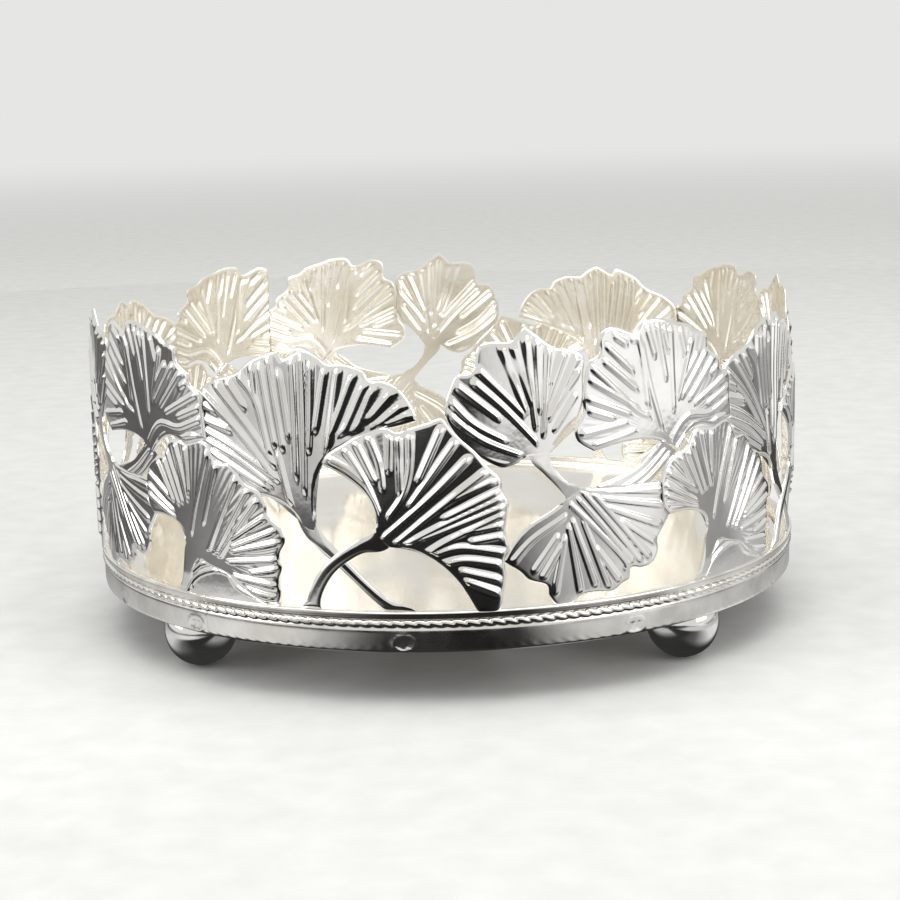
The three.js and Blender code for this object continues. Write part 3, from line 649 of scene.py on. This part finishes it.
# The repeats, and the short closing length after the third, whose own pattern is cut at both of its joints.
closing = {
    "after": 3,
    "cutBefore": ("upperLeaf", "footLeaf", "archPlate"),
    "cutAfter": ("broadLeaf",),
    "laps": ("footLeaf", "archPlate"),
    "parts": ("upperLeaf", "hangingLeaf", "stripedTie", "footLeaf", "footStem", "archPlate"),
}
firstTurn = shared["firstJoint"] / shared["faceRadius"]
panels = []
for i in range(shared["repeats"]):
    extra = shared["closingTurn"] if i >= closing["after"] else 0
    turn = i * shared["repeatTurn"] + extra
    panels.append({"node": f"gallery_panel_{i + 1}", "label": str(i + 1), "turn": turn})
lastBefore, firstAfter = panels[closing["after"] - 1], panels[closing["after"]]
closingPanel = {"node": "gallery_closing_piece", "label": str(len(panels) + 1),
                "turn": lastBefore["turn"] + shared["closingTurn"]}
closingStart = firstTurn + closing["after"] * shared["repeatTurn"]
closingEnd = closingStart + shared["closingTurn"]


def placePart(name, panel, before=None, after=None, shift=0):
    # one leaf or strap of one panel; before and after are the turns of the joints that it is cut at
    vertices, quads, slots = partSheets[name]
    vertices = turned(vertices, panel["turn"] + shift * shared["repeatTurn"])
    label = name + panel["label"] + ("Lap" if shift else "")
    piece = finishMesh(label, vertices, quads, slots, [silverPlate, innerPlate])
    if before is not None:
        cutAt(piece, before, True)
    if after is not None:
        cutAt(piece, after, False)
    settle(piece, "gallery_plate", panel["node"])


for panel in panels:
    for name in partSheets:
        before = closingStart if panel is lastBefore and name in closing["cutBefore"] else None
        after = closingEnd if panel is firstAfter and name in closing["cutAfter"] else None
        placePart(name, panel, before=before, after=after)
for name in closing["laps"]:
    placePart(name, firstAfter, after=closingEnd, shift=-1)
for name in closing["parts"]:
    placePart(name, closingPanel, before=closingEnd, after=closingStart)
print("gallery placed")


# The band. Its section is [reach from the gallery face, height over the lower edge]; the seam is a narrow
# dip, the welds (degrees from the front) a ridge round a grained dip, and the dents slant along that edge.
bandShape = {
    "section": [[-2.8, 0.6], [-2.5, 0.1], [-1.2, 0.0], [-0.35, 0.03], [0.05, 0.3], [0.16, 0.8], [0.2, 1.7],
        [0.22, 3.0], [0.22, 4.4], [0.18, 5.6], [0.06, 6.2], [-0.15, 6.6], [-0.2, 8.2], [-0.35, 8.5],
        [0.2, 8.62], [0.42, 8.8], [0.55, 9.3], [0.7, 9.85], [0.74, 10.15], [0.62, 10.42], [0.3, 10.58],
        [-0.2, 10.62], [-1.1, 10.6], [-1.2, 10.3], [-1.2, 8.9], [-1.6, 8.5], [-2.75, 8.1], [-2.8, 4.5]],
    "sectionSteps": 62, "outerFrom": -1.1, "outerFade": 0.9, "innerFrom": -1.15,
    "seamPlace": -67.6, "seamDepth": 0.22, "seamWidth": 0.22, "seamSteps": np.linspace(-0.008, 0.008, 13),
    "weldPlaces": [-41.0, -6.5, 28.1, 62.7, 97.3, 132.0, 166.6, 201.0, 236.0, 270.5, 298.0],
    "weldHeight": 2.3, "weldReach": (3.1, 2.1), "weldTop": 6, "weldSteps": np.linspace(-0.031, 0.031, 23),
    "weldRidge": 0.14, "ridgeAt": 0.9, "ridgeWidth": 0.17, "weldDip": 0.12, "dipWidth": 0.6,
    "weldGrain": 0.07, "grainPitch": ((3.1, 0.8), (-0.5, 3.7)),
    "dentCount": 202, "dentHeight": 1.15, "dentSpread": 0.4, "dentDepth": 0.045, "dentSlant": 1.8,
    "stepsPerDent": 6,
}
ropeShape = {
    "height": 7.35, "halfHeight": 1.25, "reach": 0.7, "middle": -0.5, "strands": 202, "depth": 0.28,
    "slant": 2.4, "sharpness": 1.2, "stepsPerStrand": 12, "around": 18,
}


def closedSmooth(points, samples):
    # a closed Catmull-Rom curve through the points
    points = np.asarray(points, float)
    ring = np.concatenate([points[-1:], points, points[:2]])
    return smoothLine(ring, (1 + np.arange(samples) / samples * len(points)) / (len(ring) - 1))


def closedRing(along, height, reach):
    # the ring that a closed section makes round the tray: a row of heights and reaches for each place
    grid = onFace(along, height, reach)
    vertices = grid.reshape(-1, 3)
    return vertices, facingOut(vertices, gridQuads(*grid.shape[:2], closedAcross=True, closedAlong=True))


def fromPlace(along, place):
    # signed way round the face from a place to each point, the short way
    wholeWay = 2 * np.pi * shared["faceRadius"]
    return ((along - place + wholeWay / 2) % wholeWay - wholeWay / 2)[:, None]


def bandRing():
    # The section turned about the axis. Its outside also takes the seam, -depth * exp(-(way / width)^2),
    # the dents, depth * cos(count * turn + slant * height), and the welds, ridge * exp(-((r - ridgeAt) /
    # ridgeWidth)^2) + (grain - dip) * exp(-(r / dipWidth)^4), with r the distance from the weld's middle
    # over its reach.
    shape = bandShape
    section = closedSmooth(shape["section"], shape["sectionSteps"])
    radius = shared["faceRadius"]
    even = fullTurn(shape["dentCount"] * shape["stepsPerDent"])
    welds = np.radians(shape["weldPlaces"])
    finer = np.concatenate([shape["seamPlace"] / radius + shape["seamSteps"],
                            (welds[:, None] + shape["weldSteps"]).ravel()])
    turn = np.unique(np.round(np.concatenate([even, finer % (2 * np.pi)]), 6))
    along = turn * radius
    height = np.broadcast_to(section[None, :, 1], (len(turn), len(section)))
    outside = np.clip((section[None, :, 0] - shape["outerFrom"]) / shape["outerFade"], 0, 1)
    seam = shape["seamDepth"] * np.exp(-(fromPlace(along, shape["seamPlace"]) / shape["seamWidth"]) ** 2)
    slanted = np.cos(shape["dentCount"] * turn[:, None] + shape["dentSlant"] * height)
    dents = shape["dentDepth"] * np.exp(-((height - shape["dentHeight"]) / shape["dentSpread"]) ** 2)
    reach = section[None, :, 0] + outside * (dents * slanted - seam)
    (tall, lean), (cross, low) = shape["grainPitch"]
    for weld in welds:
        away = fromPlace(along, weld * radius)
        r = np.hypot(away / shape["weldReach"][0], (height - shape["weldHeight"]) / shape["weldReach"][1])
        grain = np.cos(tall * away + lean * height) * np.cos(low * height + cross * away)
        mark = shape["weldRidge"] * np.exp(-((r - shape["ridgeAt"]) / shape["ridgeWidth"]) ** 2)
        mark += (shape["weldGrain"] * grain - shape["weldDip"]) * np.exp(-(r / shape["dipWidth"]) ** 4)
        reach = reach + mark * outside * (height < shape["weldTop"])
    vertices, quads = closedRing(along[:, None], height, reach)
    inner = np.broadcast_to(section[None, :, 0] < shape["innerFrom"], reach.shape).reshape(-1)
    return vertices, quads, inner[quads].all(1).astype(int)


def ropeRing():
    # A bead of round section, notched between its strands: depth * (1 - |cos(phase / 2)|)^sharpness, where
    # the phase is strands * turn + slant * height share, so that the strands lean.
    rope = ropeShape
    turn = fullTurn(rope["strands"] * rope["stepsPerStrand"])[:, None]
    section = fullTurn(rope["around"])[None, :]
    rise = np.sin(section)
    phase = rope["strands"] * turn + rope["slant"] * rise
    notch = rope["depth"] * (1 - np.abs(np.cos(phase / 2))) ** rope["sharpness"]
    reach = rope["middle"] + (rope["reach"] - rope["middle"] - notch) * np.cos(section)
    height = rope["height"] + (rope["halfHeight"] - notch) * rise
    vertices, quads = closedRing(turn * shared["faceRadius"], height, reach)
    return vertices, quads, np.zeros(len(quads), int)


settle(finishMesh("plainBand", *bandRing(), [bandPlate, innerPlate]), "gallery_plate", *galleryNodes)
settle(finishMesh("ropeBead", *ropeRing(), [bandPlate]), "gallery_plate", *galleryNodes)
print("band made")


# Floor pan and feet.
panShape = {
    "section": [[0.0, 8.2], [60.0, 8.2], [92.0, 8.2], [95.2, 8.22], [96.3, 8.1], [96.8, 7.4], [96.9, 6.6],
        [96.9, 2.5], [96.7, 2.4], [96.1, 2.4], [95.9, 2.5], [95.9, 6.2], [95.6, 6.9], [94.6, 7.2],
        [60.0, 7.2], [0.0, 7.2]],
    "segments": 256,
}
# neck: [out from neckRadius, up from neckTop], above a ball that stops where its neck begins.
footShape = {
    "radius": 9.7, "neckRadius": 3.4, "circle": 88.2, "turns": [-49.3, 44.9, 131.0, 224.3], "neckTop": 20.9,
    "neck": [[0.15, -1.1], [0.45, -0.6], [1.0, -0.15], [1.0, 0.0]], "neckStart": (0.1, 0.2),
    "ballShort": 0.1, "ballSteps": 40, "segments": 96,
}


def turnedBody(profile, segments):
    # A profile [radius, height] that starts and ends on the axis, turned about it; each pole is one point.
    profile = np.asarray(profile, float)
    middle = profile[1:-1]
    turn = fullTurn(segments)[:, None]
    points = np.stack([middle[None, :, 0] * np.sin(turn), -middle[None, :, 0] * np.cos(turn),
                       middle[None, :, 1] + 0 * turn], -1).reshape(-1, 3)
    count = len(points)
    vertices = np.concatenate([points, [[0, 0, profile[0, 1]], [0, 0, profile[-1, 1]]]])
    quads = gridQuads(segments, len(middle), closedAlong=True)
    ring = np.arange(segments) * len(middle)
    following = np.roll(ring, -1)
    first = np.stack([ring, following, np.full(segments, count)], -1)
    last = np.stack([following + len(middle) - 1, ring + len(middle) - 1, np.full(segments, count + 1)], -1)
    return vertices, quads, np.concatenate([first[:, ::-1], last[:, ::-1]])


def finishTurned(name, body, material, centre=(0, 0, 0)):
    # a turned body as triangles, moved to its centre
    vertices, quads, caps = body
    faces = facingOut(vertices, np.concatenate([quads[:, [0, 1, 2]], quads[:, [0, 2, 3]], caps]))
    return finishMesh(name, vertices + np.array(centre), faces, np.zeros(len(faces)), [material],
                      sharpAngle=40)


panProfile = [[r, h + shared["bandBottom"]] for r, h in panShape["section"]]
pan = finishTurned("floorPan", turnedBody(panProfile, panShape["segments"]), floorPlate)
settle(pan, "floor_plate", "base_pan")

ball = footShape
lastTurn = math.pi - math.asin(ball["neckRadius"] / ball["radius"]) - ball["ballShort"]
arc = np.linspace(0, lastTurn, ball["ballSteps"])
ballProfile = np.stack([ball["radius"] * np.sin(arc), ball["radius"] * (1 - np.cos(arc))], -1)
out, up = ball["neckStart"]
neck = [[ball["neckRadius"] + out, ballProfile[-1, 1] + up]]
neck += [[ball["neckRadius"] + out, ball["neckTop"] + up] for out, up in ball["neck"]]
footProfile = np.concatenate([ballProfile, neck, [[0.0, ball["neckTop"]]]])
for number, degrees in enumerate(ball["turns"], 1):
    turn = math.radians(degrees)
    centre = (ball["circle"] * math.sin(turn), -ball["circle"] * math.cos(turn), 0.0)
    foot = finishTurned(f"ballFoot{number}", turnedBody(footProfile, ball["segments"]), ballPlate, centre)
    settle(foot, "foot_plate", f"ball_foot_{number}")
print("floor and feet made")


# Stage, light and camera.
# The reflection card's rings run from the tray outwards: each ends in a soft change (two distances in
# metres), and its
# tones are turn from the front in degrees: linear grey that the card glows with, painted reflections which
# the metal mirrors.
stageLook = {
    "pale": "#E6E6E4", "paint": ("#DDDDDB", "#E5E5E3"), "paintStops": (0.3, 0.7), "paintRoughness": 0.7,
    "grainScale": 90.0, "grainDetail": 3.0, "floorSize": 8.0, "floorMelts": (0.9, 3.2), "worldFill": 0.8,
    "lights": {
        "overheadSoftbox": {
            "place": (0.0, -0.3, 1.3), "aim": (0, 0, 0.05), "size": (1.5, 1.1), "watts": 11.2},
        "rightSoftbox": {
            "place": (1.15, -0.75, 0.65), "aim": (0, 0, 0.06), "size": (1.0, 1.0), "watts": 5.6},
        "leftSoftbox": {
            "place": (-1.25, -0.45, 0.65), "aim": (0, 0, 0.06), "size": (0.7, 0.9), "watts": 4.5},
    },
    "cardReaches": (0.001, 0.95), "cardHeight": 0.0004, "cardSteps": 96, "cardGlow": 1.06,
    "cardRings": [
        {"change": (0.096, 0.102), "tones": {-180: 0.1, -62: 0.05, -40: 0.03, -32: 0.3, -20: 0.3, -12: 0.03,
            8: 0.03, 14: 0.45, 26: 0.45, 34: 0.03, 50: 0.03, 64: 0.1, 180: 0.1}},
        {"change": (0.118, 0.13), "tones": {-180: 0.3, -80: 0.45, -66: 0.7, -56: 0.6, -49: 0.12, -44: 0.03,
            36: 0.03, 42: 0.12, 50: 0.7, 62: 0.8, 80: 0.45, 180: 0.3}},
        {"change": (0.178, 0.2), "tones": {-180: 0.3, -110: 0.3, -60: 0.62, -50: 0.75, -34: 0.75, -26: 0.42,
            -20: 0.2, -13: 0.03, 8: 0.008, 15: 0.04, 22: 0.28, 29: 0.65, 50: 0.6, 60: 0.55, 100: 0.4,
            180: 0.3}},
        {"change": (0.31, 0.36), "tones": {-180: 0.3, -120: 0.3, -112: 0.1, -80: 0.12, -66: 0.22, -47: 0.22,
            -40: 0.12, -28: 0.02, 15: 0.015, 20: 0.2, 29: 0.42, 34: 0.4, 40: 0.55, 48: 0.85, 58: 0.8,
            63: 0.34, 80: 0.3, 87: 0.5, 92: 0.75, 99: 0.7, 106: 0.06, 128: 0.06, 140: 0.35, 180: 0.3}},
        {"change": (0.43, 0.46), "tones": {-180: 0.3, -120: 0.3, -112: 0.1, -80: 0.12, -70: 0.3, -58: 0.75,
            -50: 0.8, -42: 0.4, -34: 0.6, -26: 0.5, -22: 0.04, 16: 0.015, 20: 0.1, 25: 0.85, 56: 0.8,
            63: 0.36, 84: 0.32, 95: 0.3, 104: 0.12, 128: 0.12, 140: 0.45, 180: 0.4}},
        {"change": (0.55, 0.6), "tones": {-180: 0.4, -120: 0.35, -112: 0.1, -84: 0.15, -70: 0.95, -62: 0.6,
            -54: 0.55, -40: 0.5, -33: 0.7, -26: 0.75, -16: 0.5, -10: 0.04, 8: 0.02, 11: 0.3, 14: 0.75,
            19: 0.8, 25: 0.95, 34: 0.85, 42: 1.0, 74: 1.0, 84: 0.6, 92: 0.35, 100: 0.22, 126: 0.22,
            138: 0.65, 180: 0.5}},
        {"change": None, "tones": {-180: 0.4, -120: 0.35, -112: 0.1, -84: 0.15, -70: 0.95, -62: 0.6,
            -54: 0.55, -44: 0.5, -38: 0.3, -33: 0.6, -26: 0.85, -12: 0.8, -6: 0.3, 0: 0.12, 6: 0.15,
            11: 0.6, 25: 1.0, 34: 0.9, 42: 1.0, 74: 1.0, 84: 0.7, 92: 0.4, 100: 0.22, 126: 0.22, 138: 0.65,
            180: 0.5}},
    ],
}

# Matt paint that melts into the pale world far out, so that no horizon shows.
paleFloor = bpy.data.materials.new("matt painted studio floor")
tree = newTree(paleFloor)
place = addNode(tree, "TexCoord").outputs["Object"]
grain = addNode(tree, "TexNoise", links={"Vector": place},
                inputs={"Scale": stageLook["grainScale"], "Detail": stageLook["grainDetail"]})
paint = addNode(tree, "ValToRGB", links={"Fac": grain.outputs["Fac"]})
rampStops(paint.color_ramp, zip(stageLook["paintStops"], map(linearColour, stageLook["paint"])))
matt = addNode(tree, "BsdfPrincipled", inputs={"Roughness": stageLook["paintRoughness"]},
               links={"Base Color": paint.outputs["Color"]})
distance = addNode(tree, "VectorMath", {"operation": "LENGTH"}, links={"Vector": place})
melt = addNode(tree, "MapRange", {"interpolation_type": "SMOOTHSTEP"},
               {"From Min": stageLook["floorMelts"][0], "From Max": stageLook["floorMelts"][1]},
               {"Value": distance.outputs["Value"]})
haze = addNode(tree, "Emission", inputs={"Color": linearColour(stageLook["pale"])})
blend = addNode(tree, "MixShader",
                links={"Fac": melt.outputs["Result"], 1: matt.outputs["BSDF"], 2: haze.outputs["Emission"]})
addNode(tree, "OutputMaterial", links={"Surface": blend.outputs["Shader"]})


def flatMesh(name, corners, faces, material):
    # a piece of the stage from its corners and faces
    mesh = bpy.data.meshes.new(name)
    mesh.from_pydata(corners, [], faces)
    mesh.materials.append(material)
    piece = standing(name, mesh)
    return piece


half = stageLook["floorSize"]
floorCorners = [(-half, -half, 0), (half, -half, 0), (half, half, 0), (-half, half, 0)]
flatMesh("studioFloor", floorCorners, [(0, 1, 2, 3)], paleFloor)

# A glowing card that only the metal sees, like the card a photographer lays round polished silver but painted
# with the
# reflections that the metal shows: its glowing grey changes with the turn round the tray, and from ring to
# ring outwards.
paintedReflectionCard = bpy.data.materials.new("glowing card of painted reflections")
tree = newTree(paintedReflectionCard)
place = addNode(tree, "TexCoord").outputs["Object"]
frontFirst = addNode(tree, "Mapping", links={"Vector": place}, inputs={"Rotation": (0, 0, math.pi / 2)})
angle = addNode(tree, "TexGradient", {"gradient_type": "RADIAL"},
                links={"Vector": frontFirst.outputs["Vector"]})
distance = addNode(tree, "VectorMath", {"operation": "LENGTH"}, links={"Vector": place})
tone = None
for ring in stageLook["cardRings"]:
    row = addNode(tree, "ValToRGB", links={"Fac": angle.outputs["Fac"]})
    rampStops(row.color_ramp, [((turn + 180) / 360, [grey] * 3) for turn, grey in ring["tones"].items()])
    if tone is None:
        tone = row.outputs["Color"]
    else:
        farther = addNode(tree, "MapRange", {"interpolation_type": "SMOOTHSTEP"},
                          {"From Min": lastChange[0], "From Max": lastChange[1]},
                          {"Value": distance.outputs["Value"]})
        mixed = addNode(tree, "Mix", {"data_type": "RGBA"},
                        links={"Factor": farther.outputs["Result"], 6: tone, 7: row.outputs["Color"]})
        tone = mixed.outputs[2]
    lastChange = ring["change"]
# the card glows with these painted reflection greys, though it is no lamp
glow = addNode(tree, "Emission", inputs={"Strength": stageLook["cardGlow"]}, links={"Color": tone})
addNode(tree, "OutputMaterial", links={"Surface": glow.outputs["Emission"]})
paintedReflectionCard.cycles.emission_sampling = "NONE"
steps = stageLook["cardSteps"]
ringCorners = [(r * math.sin(a), -r * math.cos(a), stageLook["cardHeight"])
               for r in stageLook["cardReaches"] for a in fullTurn(steps)]
ringFaces = [(i, (i + 1) % steps, (i + 1) % steps + steps, i + steps) for i in range(steps)]
card = flatMesh("paintedReflectionCard", ringCorners, ringFaces, paintedReflectionCard)
card.visible_camera = False
card.visible_diffuse = False
card.visible_shadow = False
card.visible_transmission = False

for name, light in stageLook["lights"].items():
    lamp = bpy.data.lights.new(name, "AREA")
    lamp.shape = "RECTANGLE"
    lamp.size, lamp.size_y = light["size"]
    lamp.energy = light["watts"]
    holder = standing(name, lamp)
    place = np.array(light["place"])
    back = place - np.array(light["aim"])
    back = back / np.linalg.norm(back)
    side = np.cross((0, 0, 1), back)
    side = side / np.linalg.norm(side)
    up = np.cross(back, side)
    holder.matrix_world = Matrix([[side[k], up[k], back[k], place[k]] for k in range(3)] + [[0, 0, 0, 1]])
    holder.visible_camera = False

world = bpy.data.worlds.new("pale studio")
bpy.context.scene.world = world
tree = newTree(world)
rays = addNode(tree, "LightPath")
seen = addNode(tree, "Math", {"operation": "MAXIMUM"},
               links={0: rays.outputs["Is Camera Ray"], 1: rays.outputs["Is Glossy Ray"]})
shown = addNode(tree, "Math", {"operation": "MAXIMUM"},
                links={0: seen.outputs[0], 1: rays.outputs["Is Transmission Ray"]})
strength = addNode(tree, "MapRange", inputs={"To Min": stageLook["worldFill"], "To Max": 1.0},
                   links={"Value": shown.outputs[0]})
sky = addNode(tree, "Background", inputs={"Color": linearColour(stageLook["pale"])},
              links={"Strength": strength.outputs["Result"]})
addNode(tree, "OutputWorld", links={"Surface": sky.outputs["Background"]})

# The camera stands where the picture was taken from: 573 mm in front and 157 mm over the table, looking 11
# degrees down, with a focal length of 1984 pixels in a picture that is 900 pixels wide.
cameraLook = {
    "place": (0.0, -0.57346, 0.15737), "yaw": 0.00281, "pitch": 0.19238, "roll": -0.02744,
    "focalPixels": 1984.35, "pictureWidth": 900, "sensor": 36, "clip": (0.01, 50),
}
yaw, pitch, roll = cameraLook["yaw"], cameraLook["pitch"], cameraLook["roll"]
forward = np.array([math.sin(yaw) * math.cos(pitch), math.cos(yaw) * math.cos(pitch), -math.sin(pitch)])
level = np.array([math.cos(yaw), -math.sin(yaw), 0.0])
over = np.cross(level, forward)
right = math.cos(roll) * level + math.sin(roll) * over
upward = -math.sin(roll) * level + math.cos(roll) * over
lens = bpy.data.cameras.new("camera")
lens.sensor_width = cameraLook["sensor"]
lens.lens = cameraLook["focalPixels"] / cameraLook["pictureWidth"] * cameraLook["sensor"]
lens.clip_start, lens.clip_end = cameraLook["clip"]
viewer = standing("camera", lens)
viewer.matrix_world = Matrix([[right[k], upward[k], -forward[k], cameraLook["place"][k]] for k in range(3)]
                             + [[0, 0, 0, 1]])
bpy.context.scene.camera = viewer
bpy.context.scene.view_settings.view_transform = "Standard"
print("stage set")

bpy.context.view_layer.update()
